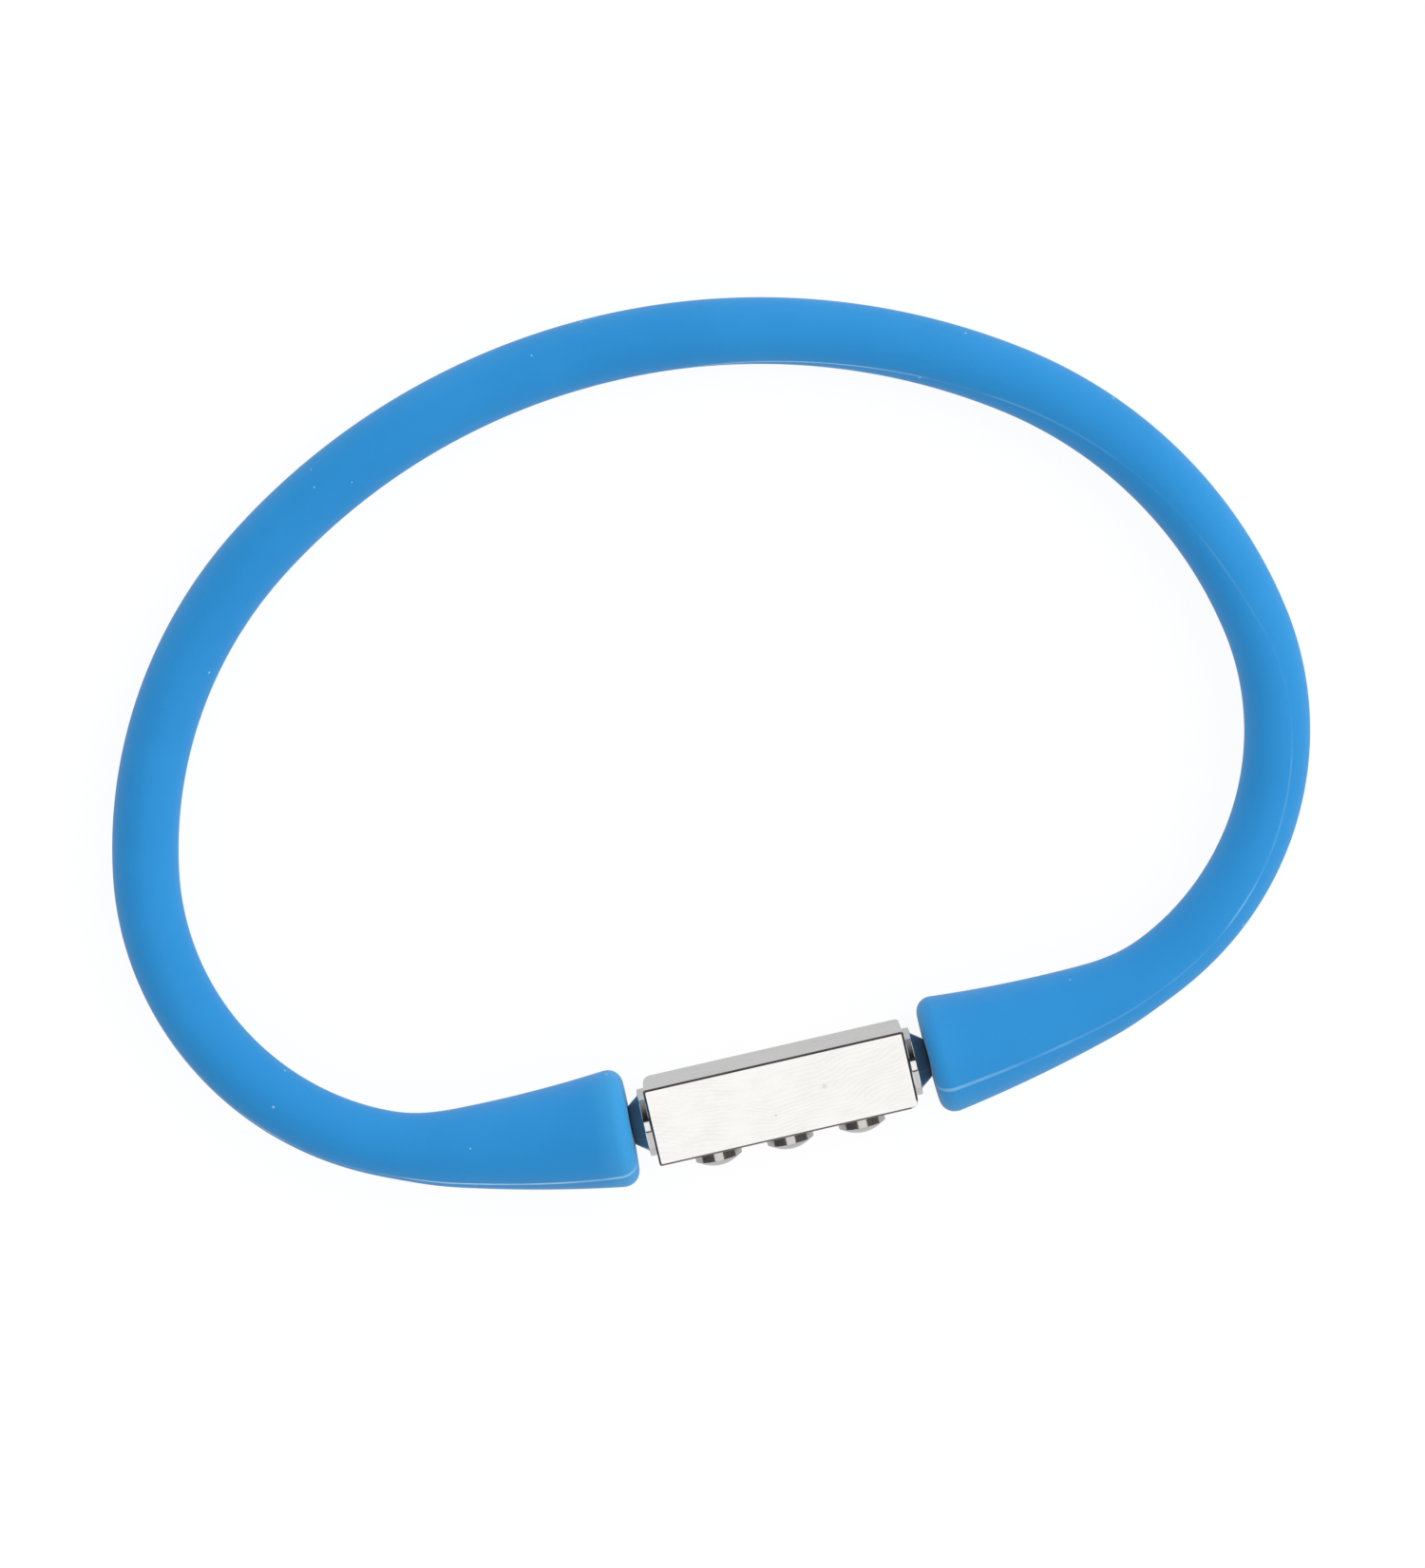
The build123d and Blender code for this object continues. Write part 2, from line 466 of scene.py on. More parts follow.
# %% Tree helpers
def new_tree(name, sizes):
    """A tree with a geometry input and output and one named number for each size."""
    tree = bpy.data.node_groups.new(name, "GeometryNodeTree")
    tree.interface.new_socket("Geometry", in_out="OUTPUT", socket_type="NodeSocketGeometry")
    tree.interface.new_socket("Geometry", in_out="INPUT", socket_type="NodeSocketGeometry")
    for size in sizes:
        tree.interface.new_socket(size, in_out="INPUT", socket_type="NodeSocketFloat")
    graph = Graph(tree)
    return graph, graph.node("NodeGroupInput")


def stored(graph, geometry, name, value):
    """Geometry whose points carry a named value, for a material to read."""
    inputs = {"Geometry": geometry, "Name": name, "Value": value}
    return graph.node("GeometryNodeStoreNamedAttribute", {"domain": "POINT"}, inputs)["Geometry"]


def end_tree(graph, geometry, material):
    """Every tree ends in the same way: real geometry, smooth, with its material."""
    geometry = graph.node("GeometryNodeRealizeInstances", None, {"Geometry": geometry})["Geometry"]
    geometry = graph.node("GeometryNodeSetShadeSmooth", None, {"Geometry": geometry})["Geometry"]
    inputs = {"Geometry": geometry, "Material": material}
    geometry = graph.node("GeometryNodeSetMaterial", None, inputs)["Geometry"]
    graph.node("NodeGroupOutput", None, {"Geometry": geometry})


print("tree helpers ready")

# %% Mesh helpers
MERGE_DISTANCE = 0.0005 * MM


def add_object(name, data):
    made = bpy.data.objects.new(name, data)
    bpy.context.collection.objects.link(made)
    return made


def evaluated_mesh(source):
    """A plain mesh of an object as its modifiers leave it."""
    return bpy.data.meshes.new_from_object(source.evaluated_get(bpy.context.evaluated_depsgraph_get()))


def add_piece(name, mesh, material=None):
    """An object for a finished mesh. Doubles are merged and its faces are turned outwards."""
    shape = bmesh.new()
    shape.from_mesh(mesh)
    bmesh.ops.remove_doubles(shape, verts=shape.verts, dist=MERGE_DISTANCE)
    bmesh.ops.recalc_face_normals(shape, faces=shape.faces)
    shape.to_mesh(mesh)
    open_edges = sum(not edge.is_manifold for edge in shape.edges)
    shape.free()
    mesh.name = name
    if material:
        mesh.materials.clear()
        mesh.materials.append(material)
    print(name, "has", len(mesh.polygons), "faces and", open_edges, "open edges")
    return add_object(name, mesh)


def run_tree(name, source, graph, sizes):
    """A new plain mesh object, from a tree run on a source object, which is then removed."""
    modifier = source.modifiers.new(name, "NODES")
    modifier.node_group = graph.tree
    for item in graph.tree.interface.items_tree:
        if item.in_out == "INPUT" and item.name in sizes:
            modifier[item.identifier] = sizes[item.name]
    mesh = evaluated_mesh(source)
    source.modifiers.remove(modifier)
    bpy.data.objects.remove(source)
    return add_piece(name, mesh)


print("points closer than", round(MERGE_DISTANCE / MM, 4), "mm are merged")

# %% [markdown]
# ## The strap
#
# On the real band the strap is one moulding, so it is one mesh here: a round section swept along
# the centre line. A curve's own bevel would make a plain cord, but a Geometry Nodes tree can give
# the radius, the section and its winding rules of their own. The sweep has a ring at each point of
# its path, so the points lie close together round the mouths' rims and evenly elsewhere.

# %% Path of the strap
RING_STEP = 0.4 * MM
RIM_RINGS = 12


def strap_lengths():
    """Where the sweep has its rings, as lengths from the right-hand mouth."""
    rim = [rim_round * (1 - cos(pi / 2 * ring / RIM_RINGS)) for ring in range(RIM_RINGS)]
    middle = 2 * (half_length - rim_round)
    count = round(middle / RING_STEP)
    plain = [rim_round + middle * ring / count for ring in range(count + 1)]
    return rim + plain + [2 * half_length - length for length in reversed(rim)]


def strap_path():
    lengths = strap_lengths()
    curve = bpy.data.curves.new("strap_path", "CURVE")
    curve.dimensions = "3D"
    spline = curve.splines.new("POLY")
    spline.points.add(len(lengths) - 1)
    for point, length in zip(spline.points, lengths):
        point.co = (*along_loop(length), 1)
    print("path with", len(lengths), "points")
    return add_object("strap_path", curve)


path = strap_path()

# %% [markdown]
# ## Thickness of the strap
#
# The radius follows two rules. Over the flare it grows in a straight cone, which runs out softly
# into the plain cord. Over the last millimetre it comes in again on a quarter circle, which is the
# mouth's rounded rim. The same lengths say how near its lip a place is, for the painted sheen there.

# %% Radius along the strap
FLARE_BLEND = 0.08        # how softly the cone runs out, as a share of the flare's length


def swept_radius(graph, sizes):
    """The strap's radius, how near a mouth's face it is (0 to 1), and the share of the way."""
    spline = graph.node("GeometryNodeSplineParameter")
    whole = graph.node("GeometryNodeSplineLength")["Length"]
    from_end = spline["Length"].least(whole - spline["Length"])
    taper = 1 - from_end / sizes["Flare length"]
    cone = (taper + (taper * taper + FLARE_BLEND**2).apply("SQRT")) * 0.5
    in_rim = (1 - from_end / sizes["Rim rounding"]).most(0.0)
    drawn_in = 1 - (1 - in_rim * in_rim).most(0.0).apply("SQRT")
    radius = sizes["Cord radius"] + (sizes["Mouth radius"] - sizes["Cord radius"]) * cone
    near_mouth = (1 - from_end / sizes["Lip reach"]).most(0.0)
    return radius - sizes["Rim rounding"] * drawn_in, near_mouth, spline["Factor"]


print("the flare runs out over about", round(FLARE_BLEND * flare_length / MM, 1), "mm")

# %% [markdown]
# ## Where the mould's halves met
#
# The section isn't quite round. A thin fin of flash stands on each side, where the mould's halves
# met, and one half is a hair smaller than the other, which leaves a step. The section's points are
# crowded towards the fins, because the rest of the circle needs few. An attribute records the fins,
# so that the material can find them.

# %% Section of the strap
SECTION_POINTS = 128
SECTION_CROWDING = 0.72   # draws the section's points towards the fins
FIN_HEIGHT = 0.0035       # as a share of the section's radius
FIN_WIDTH = 0.013         # radians
MOULD_STEP = 0.0045       # how much smaller one half of the mould is, as a share too


def fin_section(graph):
    """A unit circle with two fins, half a turn apart, and a record of where the fins are."""
    circle = graph.node("GeometryNodeCurvePrimitiveCircle", None, {
        "Resolution": SECTION_POINTS, "Radius": 1.0,
    })["Curve"]
    turn = graph.node("GeometryNodeSplineParameter")["Factor"] * (2 * pi)
    angle = turn - (turn * 2).apply("SINE") * (SECTION_CROWDING / 2)
    off = angle.apply("SINE") / FIN_WIDTH
    fin = (off * off * -1.0).apply("EXPONENT")
    one_half = angle.apply("SINE").ramp(-FIN_WIDTH, FIN_WIDTH)
    reach = 1 + fin * FIN_HEIGHT - one_half * MOULD_STEP
    corner = graph.node("ShaderNodeCombineXYZ", None, {
        "X": angle.apply("COSINE") * reach, "Y": angle.apply("SINE") * reach,
    })["Vector"]
    moved = graph.node("GeometryNodeSetPosition", None, {"Geometry": circle, "Position": corner})
    return stored(graph, moved["Geometry"], "seam", fin)


print("the fins stand", round(FIN_HEIGHT * cord_r / MM, 3), "mm high on the plain cord")

# %% [markdown]
# ## How the line winds
#
# The cord was pushed on with a twist in it, so the fins wind slowly round it. The line's painted
# highlight is strongest near the left-hand mouth. Both are curves through a few values, read by how
# far along the strap a place is: 0 at the right-hand mouth, 1 at the left-hand.

# %% Winding of the strap
# How far along, and a fin's place in degrees from the top towards the outside of the loop.
TWIST = (
    (0.0, 27.0), (0.18, 19.0), (0.25, -12.0), (0.44, -64.0), (0.52, -88.0), (0.72, -92.0),
    (0.80, -103.0), (0.86, -118.0), (0.93, -128.0), (0.97, -131.0), (1.0, -138.0),
)
TWIST_LOW, TWIST_HIGH = -140.0, 40.0
# How far along, and how strongly the line's painted highlight shows.
LINE_HIGHLIGHT_STRENGTH = (
    (0.0, 0.40), (0.04, 0.40), (0.055, 0.12), (0.11, 0.10), (0.125, 0.28), (0.14, 0.12),
    (0.32, 0.14), (0.42, 0.6), (0.50, 0.85), (0.56, 0.5), (0.75, 0.35), (0.85, 0.85), (1.0, 1.0),
)


def wound_curve(graph, curve, share):
    """The path, turned about itself so that the section's fins lie where they should."""
    tilt = (graph.curve(share, TWIST, TWIST_LOW, TWIST_HIGH) + 90) * (pi / 180)
    curve = graph.node("GeometryNodeSetCurveNormal", {"mode": "Z_UP"}, {"Curve": curve})["Curve"]
    return graph.node("GeometryNodeSetCurveTilt", None, {"Curve": curve, "Tilt": tilt})["Curve"]


print("a fin winds through", TWIST[0][1] - TWIST[-1][1], "degrees")

# %% [markdown]
# ## Inside the mouths
#
# Each mouth has a hole for the plug's neck, and behind it a chamber for the barb. A sweep can't turn
# back into itself, so its open end loops are extruded inwards, ring by ring. An extrude without an
# offset leaves the new loop on the old one, and Set Position then draws it in round the plug's axis.
# The first rings follow the lean of the mouth's face, and the others are square to the axis.

# %% Rings inside the mouths
FACE_LEAN = tan(radians(MOUTH_HEADING))
hole_r = neck_r + socket_clearance
chamber_start = neck_depth - socket_clearance
chamber_end = neck_depth + barb_length + socket_clearance
# Depth from the face, radius, and how far the ring follows the face's lean.
MOUTH_RINGS = (
    (0.0, hole_r + 0.16 * MM, 1.0),
    (0.03 * MM, hole_r + 0.07 * MM, 1.0),
    (0.12 * MM, hole_r, 0.6),
    (chamber_start, hole_r, 0.0),
    (chamber_start, barb_r + socket_clearance, 0.0),
    (chamber_end, barb_tip_r + socket_clearance, 0.0),
    (chamber_end, 0.0, 0.0),
)


def mouth_ring(graph, mesh, selection, ring):
    """Extrudes the open end loops and places the new loops inside the mouths."""
    depth, radius, lean = ring
    extruded = graph.node("GeometryNodeExtrudeMesh", {"mode": "EDGES"}, {
        "Mesh": mesh, "Selection": selection, "Offset Scale": 0.0,
    })
    from_axis = graph.node("ShaderNodeVectorMath", {"operation": "SUBTRACT"}, {
        0: graph.node("GeometryNodeInputPosition")["Position"], 1: bar_centre,
    })["Vector"]
    part = graph.node("ShaderNodeSeparateXYZ", None, {"Vector": from_axis})
    side, across, up = part["X"].apply("SIGN"), part["Y"], part["Z"]
    away = (across * across + up * up).apply("SQRT")
    new_across = across / away * radius
    reach = mouth_x + depth - new_across * (FACE_LEAN * lean)
    new = graph.node("ShaderNodeCombineXYZ", None, {
        "X": side * reach + bar_centre.x,
        "Y": new_across + bar_centre.y,
        "Z": up / away * radius + bar_centre.z,
    })["Vector"]
    inputs = {"Geometry": extruded["Mesh"], "Selection": extruded["Top"], "Position": new}
    return graph.node("GeometryNodeSetPosition", None, inputs)["Geometry"], extruded["Top"]


print("the mouths are", round(chamber_end / MM, 2), "mm deep")

# %% [markdown]
# ## Putting the strap's tree together
#
# The steps above run one after another: wind the path, record what the material reads, sweep the
# section at its radius, and go in at both mouths. An open end loop is found by its edges, because
# they alone have one face beside them.

# %% Make the strap
RIGHT_LIP_SHEEN = 0.4           # how strong the painted sheen on the right-hand lip is, as a share of the left-hand one
OPEN_BELOW = 1.5          # an edge with fewer faces beside it is on an open end loop
STRAP_SIZES = {
    "Cord radius": cord_r,
    "Mouth radius": mouth_r,
    "Flare length": flare_length,
    "Rim rounding": rim_round,
    "Lip reach": 2.6 * MM,
}


def strap_tree(sizes):
    graph, given = new_tree("strap_sweep", sizes)
    radius, near_mouth, share = swept_radius(graph, {name: given[name] for name in sizes})
    curve = wound_curve(graph, given["Geometry"], share)
    curve = stored(graph, curve, "seam_strength", graph.curve(share, LINE_HIGHLIGHT_STRENGTH))
    # Painted sheen near the mouths, stronger at the left-hand one.
    curve = stored(graph, curve, "lip", near_mouth * (share * (1 - RIGHT_LIP_SHEEN) + RIGHT_LIP_SHEEN))
    mesh = graph.node("GeometryNodeCurveToMesh", None, {
        "Curve": curve, "Profile Curve": fin_section(graph), "Scale": radius,
    })["Mesh"]
    selection = graph.node("GeometryNodeInputMeshEdgeNeighbors")["Face Count"] < OPEN_BELOW
    for ring in MOUTH_RINGS:
        mesh, selection = mouth_ring(graph, mesh, selection, ring)
    end_tree(graph, mesh, SILICONE)
    return graph


strap = run_tree("silicone_strap", path, strap_tree(STRAP_SIZES), STRAP_SIZES)

# %% [markdown]
# ## Turned pieces
#
# Plugs and studs come off a lathe. The natural way to make such a piece is to draw half of its
# outline and spin it. The outline's corners are rounded first, because no turned edge is quite
# sharp and it is the rounding that catches the light. A ring close beside each rounding keeps the
# flats flat when the whole piece is shaded smooth, or they would mirror like lenses. An attribute
# marks the parts that are a little rougher and whose colour is darkened as painted shade.


# %% Rounded outline
ARC_STEPS = 4
SUPPORT = 1.4             # where the ring beside a rounding lies, as a share of the rounding's reach
LARGEST_SHARE = 0.3       # the most that a rounding takes of either side


def rounded_outline(corners):
    """Points of an outline whose (along, radius, rounding, painted shade mark) corners get small arcs.
    """
    points = []
    for index, (along, radius, rounding, unpolished) in enumerate(corners):
        here = Vector((along, radius))
        if not rounding or index in (0, len(corners) - 1):
            points.append((here, unpolished))
            continue
        before = Vector(corners[index - 1][:2]) - here
        after = Vector(corners[index + 1][:2]) - here
        reach = min(rounding, before.length * LARGEST_SHARE, after.length * LARGEST_SHARE)
        start, end = here + before.normalized() * reach, here + after.normalized() * reach
        points.append((here.lerp(start, SUPPORT), unpolished))
        for step in range(ARC_STEPS + 1):
            share = step / ARC_STEPS
            points.append((start.lerp(here, share).lerp(here.lerp(end, share), share), unpolished))
        points.append((here.lerp(end, SUPPORT), unpolished))
    return points


print("a rounded corner has", ARC_STEPS + 3, "points")

# %% Lathe
POINTS_AROUND = 96


def bridge(shape, rings):
    """Smooth faces between each closed ring of vertices and the next."""
    for ring, after in zip(rings, rings[1:]):
        for step in range(len(ring)):
            following = (step + 1) % len(ring)
            corners = (ring[step], ring[following], after[following], after[step])
            shape.faces.new(corners).smooth = True


def lathe(name, corners, origin, axis, material):
    """Spins an outline about an axis through origin. The outline starts and ends on the axis."""
    side = axis.orthogonal().normalized()
    other = axis.cross(side)
    shape = bmesh.new()
    mark = shape.verts.layers.float.new("unpolished")
    rings = []
    for (along, radius), unpolished in rounded_outline(corners):
        ring = []
        for step in range(POINTS_AROUND):
            angle = 2 * pi * step / POINTS_AROUND
            away = side * cos(angle) + other * sin(angle)
            ring.append(shape.verts.new(origin + axis * along + away * radius))
            ring[-1][mark] = unpolished
        rings.append(ring)
    bridge(shape, rings)
    mesh = bpy.data.meshes.new(name)
    shape.to_mesh(mesh)
    shape.free()
    return add_piece(name, mesh, material)


print("lathe ready")

# %% [markdown]
# ## End plugs
#
# Each plug is one turned piece: a spigot that screws into the bar, a collar, a cone that narrows to
# the silicone, and a neck and a barbed head that the silicone holds. Only the collar and cone show
# while the band is closed, but the barb shows when it is pulled open, so it is made too. The cone
# goes a little into the gap before the silicone, or a bright line of the neck would show there. The
# collar is polished with the bar. The rest is left as it was turned, a little rougher, and its colour
# is darkened as painted shade, because the cone mirrors the shaded faces of the mouths.

# %% Make the plugs
CONE_REACH = 0.07 * MM    # how far the cone's tip goes into the gap before the silicone


def plug_outline():
    """Corners as (along, radius, rounding, painted shade mark), measured from the bar's end face."""
    spigot_r, spigot_length = 1.2 * MM, 2.5 * MM
    collar_end = collar_length
    cone_end = collar_end + cone_length + CONE_REACH
    neck_end = collar_end + cone_length + mouth_gap + neck_depth
    barb_end = neck_end + barb_length
    return [
        (-spigot_length, 0.0, 0, 0),
        (-spigot_length, spigot_r, 0.05 * MM, 0),
        (0.0, spigot_r, 0, 0),
        (0.0, collar_r, 0.06 * MM, 0),
        (collar_end, collar_r, 0.06 * MM, 0),
        (collar_end, cone_r, 0.03 * MM, 1),
        (cone_end, cone_tip_r, 0.05 * MM, 1),
        (cone_end, neck_r, 0.03 * MM, 1),
        (neck_end, neck_r, 0.05 * MM, 1),
        (neck_end, barb_r, 0.06 * MM, 1),
        (barb_end, barb_tip_r, 0.25 * MM, 1),
        (barb_end, 0.0, 0, 1),
    ]


plugs = {}
for side, name in ((-1, "left_end_plug"), (1, "right_end_plug")):
    bar_end = bar_centre + Vector((side * bar_size.x / 2, 0, 0))
    plugs[name] = lathe("turned_" + name, plug_outline(), bar_end, Vector((side, 0, 0)), PLUG_STEEL)

# %% [markdown]
# ## Studs
#
# Three studs repeat along the bar's outward face. One is turned on the lathe as a pattern for the
# rest. The dome is an arc from the wall's top to the middle. The stud's foot goes a hair into the
# bar, so that no light passes under it. The foot and wall are a little rougher and painted darker,
# a painted shade for the dark surroundings they mirror.

# %% Turn one stud
DOME_RINGS = 14
stud_r = (stud_high.x - stud_low.x) / 2
stud_wall, stud_dome = 0.68 * MM, 0.5 * MM
dome_r = stud_r - 0.06 * MM       # the wall's rounded edge takes the rest
stud_foot = -0.05 * MM            # below the bar's face


def stud_outline():
    """Corners as (along, radius, rounding, painted shade mark), from the foot to the top of the dome.
    """
    ball_r = (dome_r**2 + stud_dome**2) / (2 * stud_dome)
    outline = [
        (stud_foot, 0.0, 0, 1),
        (stud_foot, stud_r, 0.03 * MM, 1),
        (stud_wall, stud_r, 0.07 * MM, 1),
    ]
    for ring in range(DOME_RINGS + 1):
        radius = dome_r * (1 - ring / DOME_RINGS)
        height = stud_wall + stud_dome - ball_r + sqrt(ball_r**2 - radius**2)
        outline.append((height, radius, 0, 0))
    return outline


OUTWARD = Vector((0, -1, 0))
pattern = lathe("stud_pattern", stud_outline(), Vector((0, 0, 0)), OUTWARD, STUD_STEEL)

# %% [markdown]
# ## A row of studs
#
# A small tree puts a copy of the pattern at each place of a row, so that the number and the pitch
# are easy to change. The row is a line of points, centred on the bar's outward face.

# %% Set out the row
STUD_COUNT = 3
STUD_SIZES = {"Pitch": stud_pitch, "Bar side": bar_size.y}


def stud_row_tree(one_stud, sizes):
    graph, given = new_tree("stud_row", sizes)
    step = graph.node("ShaderNodeCombineXYZ", None, {"X": given["Pitch"]})["Vector"]
    start = graph.node("ShaderNodeCombineXYZ", None, {
        "X": bar_centre.x - given["Pitch"] * ((STUD_COUNT - 1) / 2),
        "Y": bar_centre.y - given["Bar side"] / 2,
        "Z": bar_centre.z,
    })["Vector"]
    row = graph.node("GeometryNodeMeshLine", None, {
        "Count": STUD_COUNT, "Start Location": start, "Offset": step,
    })["Mesh"]
    stud = graph.node("GeometryNodeObjectInfo", None, {"Object": one_stud})["Geometry"]
    copies = graph.node("GeometryNodeInstanceOnPoints", None, {"Points": row, "Instance": stud})
    end_tree(graph, copies["Instances"], STUD_STEEL)
    return graph


nothing = add_object("stud_row", bpy.data.meshes.new("stud_row"))
studs = run_tree("domed_studs", nothing, stud_row_tree(pattern, STUD_SIZES), STUD_SIZES)
bpy.data.objects.remove(pattern)

# %% [markdown]
# ## Bar
#
# The bar is cut from square stock and polished by hand. Round its top face the edge is only broken.
# Lower down the corners are rounder, and so is one corner of the top face. A bevel can't change along
# an edge, so the bar is built as a stack of rounded rectangles, each with its own inset and corner
# radii, whose flats all lie in the same four planes.

# %% Rings of the bar
TOP_ROUND, FOOT_ROUND = 0.13 * MM, 0.36 * MM
SHARP_CORNER, EASED_CORNER, SOFT_CORNER = 0.12 * MM, 0.22 * MM, 0.5 * MM
CORNER_STEPS, EDGE_STEPS = 8, 7
# The upright corners: which side and back they are on, and their radius at the top and the foot.
CORNERS = (
    (1, 1, SHARP_CORNER, EASED_CORNER),
    (-1, 1, SHARP_CORNER, SOFT_CORNER),
    (-1, -1, SHARP_CORNER, SOFT_CORNER),
    (1, -1, SOFT_CORNER, SOFT_CORNER),
)


def bar_ring(height, inset):
    """A rounded rectangle at a height above the bar's foot, drawn in by an inset all round."""
    points = []
    for index, (side, back, top_radius, foot_radius) in enumerate(CORNERS):
        radius = foot_radius + (top_radius - foot_radius) * height / bar_size.z
        taken = inset * radius / SOFT_CORNER      # the part of the inset that the corner takes
        corner = bar_centre + Vector((
            side * (bar_size.x / 2 - radius - inset + taken),
            back * (bar_size.y / 2 - radius - inset + taken),
            height - bar_size.z / 2,
        ))
        for step in range(CORNER_STEPS + 1):
            angle = pi / 2 * (index + step / CORNER_STEPS)
            points.append(corner + Vector((cos(angle), sin(angle), 0)) * (radius - taken))
    return points


def bar_rings():
    """From the foot to the top: a quarter circle, the straight sides and a quarter circle."""
    turns = [pi / 2 * step / EDGE_STEPS for step in range(EDGE_STEPS + 1)]
    foot = [bar_ring(FOOT_ROUND * (1 - cos(turn)), FOOT_ROUND * (1 - sin(turn))) for turn in turns]
    top = [
        bar_ring(bar_size.z - TOP_ROUND * (1 - sin(turn)), TOP_ROUND * (1 - cos(turn)))
        for turn in turns
    ]
    return foot + top


print("the bar is a stack of", len(bar_rings()), "rings")

# %% [markdown]
# ## Flats that mirror flatly
#
# Smooth shading would bend the reflections near every edge. Weighted normals let the largest faces
# decide, so the flats mirror as flats and only the roundings bend. The broken edge round the top
# face is marked for a rougher finish and a painted shade, a dark line standing in for the dark
# surroundings it mirrors, except at the soft corner, which was rounded on the wheel.

# %% Make the bar
SOFT_CORNER_SIZE = Vector((1.1, 1.3, 0)) * MM     # how much of the top edge is left bright, without the painted shade, there


def weighted(mesh):
    """The mesh with normals that follow its largest faces."""
    source = add_object(mesh.name, mesh)
    flats = source.modifiers.new("flats", "WEIGHTED_NORMAL")
    flats.keep_sharp, flats.weight = True, 100
    made = evaluated_mesh(source)
    bpy.data.objects.remove(source)
    return made


# The broken top edge is rougher, and its colour is darkened there as painted shade.
def mark_rough_and_painted_shade(mesh):
    marks = mesh.attributes.new("unpolished", "FLOAT", "FACE").data
    for face in mesh.polygons:
        x, y, z = face.center
        at_top_edge = z > bar_high.z - TOP_ROUND and face.normal.z < 0.999
        at_soft_corner = x > bar_high.x - SOFT_CORNER_SIZE.x and y < bar_low.y + SOFT_CORNER_SIZE.y
        marks[face.index].value = at_top_edge and not at_soft_corner


def make_bar():
    shape = bmesh.new()
    rings = [[shape.verts.new(point) for point in ring] for ring in bar_rings()]
    bridge(shape, rings)
    shape.faces.new(reversed(rings[0])).smooth = True
    shape.faces.new(rings[-1]).smooth = True
    mesh = bpy.data.meshes.new("bar")
    shape.to_mesh(mesh)
    shape.free()
    made = weighted(mesh)
    mark_rough_and_painted_shade(made)
    made.name = "polished_bar"
    made.materials.append(BAR_STEEL)
    print("polished_bar has", len(made.polygons), "faces")
    return add_object("polished_bar", made)


bar = make_bar()

# %% [markdown]
# ## Riding on the bodies
#
# The strap crosses the place where the band bends open, but it is only baked in place and rides on
# no body. The metal pieces ride on the bar.

# %% Ride and replace
back_middle = along_loop(half_length)
FLEX_REACH = Vector((16.8, -3.1, 0)) * MM
back_middle + FLEX_REACH
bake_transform(strap)
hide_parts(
    "strap_left_end", "strap_left_arm", "strap_back_flex", "strap_right_arm", "strap_right_end",
)

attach(bar, "bar")
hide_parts("steel_bar")
for name, plug in plugs.items():
    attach(plug, "bar")
    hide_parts(name)
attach(studs, "bar")
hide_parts("left_stud", "middle_stud", "right_stud")
print("pieces ride on their bodies")

# %% [markdown]
# ## Floor
#
# The band lies on a pale surface on its two mouths and the far side of the cord, so the surface
# leans by the little that the mouths are thicker than the cord. It glows by itself and is only a
# little lit, which keeps it an even white with hardly a shadow. What mirrors it sees it dimmer, or
# the metal's lower sides would be as white as the surface.

# %% Floor
FLOOR_HALF_SIDE = 1.5
FLOOR_DROP = 0.03 * MM            # keeps the surface clear of what lies on it
FLOOR_GLOW, GLOW_LEVEL, DIMMED_BY = 0.90, 1.02, 0.42


def pale_surface():
    material, graph = new_material("pale_surface")
    mottle = noise(graph, object_place(graph), 8.0)
    tone = graph.mix(mottle, (0.93, 0.93, 0.93, 1), (0.95, 0.95, 0.95, 1))
    matt = graph.node("ShaderNodeBsdfDiffuse", None, {"Color": tone})["BSDF"]
    mirrored = graph.node("ShaderNodeLightPath")["Is Glossy Ray"]
    glow = graph.node("ShaderNodeEmission", None, {
        "Color": (1, 1, 1, 1), "Strength": GLOW_LEVEL - mirrored * DIMMED_BY,
    })["Emission"]
    both = graph.node("ShaderNodeMixShader", None, {0: FLOOR_GLOW, 1: matt, 2: glow})
    finish_material(graph, both["Shader"])
    return material


def make_floor():
    slope = (bar_centre.z - cord_r) / (back_middle.y - bar_centre.y)
    corners = []
    for x, y in ((-1, -1), (1, -1), (1, 1), (-1, 1)):
        away = y * FLOOR_HALF_SIDE
        corners.append((x * FLOOR_HALF_SIDE, away, slope * (away - bar_centre.y) - FLOOR_DROP))
    mesh = bpy.data.meshes.new("floor")
    mesh.from_pydata(corners, [], [(0, 1, 2, 3)])
    mesh.materials.append(pale_surface())
    add_object("floor", mesh)
    print("floor leans", round(slope, 4))


make_floor()

# %% [markdown]
# ## Studio light
#
# The light is a white tent: nearly even, and stronger from the right and from the back. Polished
# metal shows the studio more than its own colour, so what it can mirror is drawn into the world as
# well: a soft box overhead, a white card on the bar's outward side, four small cards that the
# bar's corners catch, a dim wall behind the loop, and a dark room between them. Only mirrored rays
# see those. One soft lamp at the right brings out the cord's roundness.


# %% What the metal mirrors
BOX_LEVEL, CARD_LEVEL, WALL_LEVEL, ROOM_LEVEL = 1.12, 0.72, 0.25, 0.015


def fall(value, low, high):
    """1 below low and 0 above high."""
    return 1 - value.ramp(low, high)


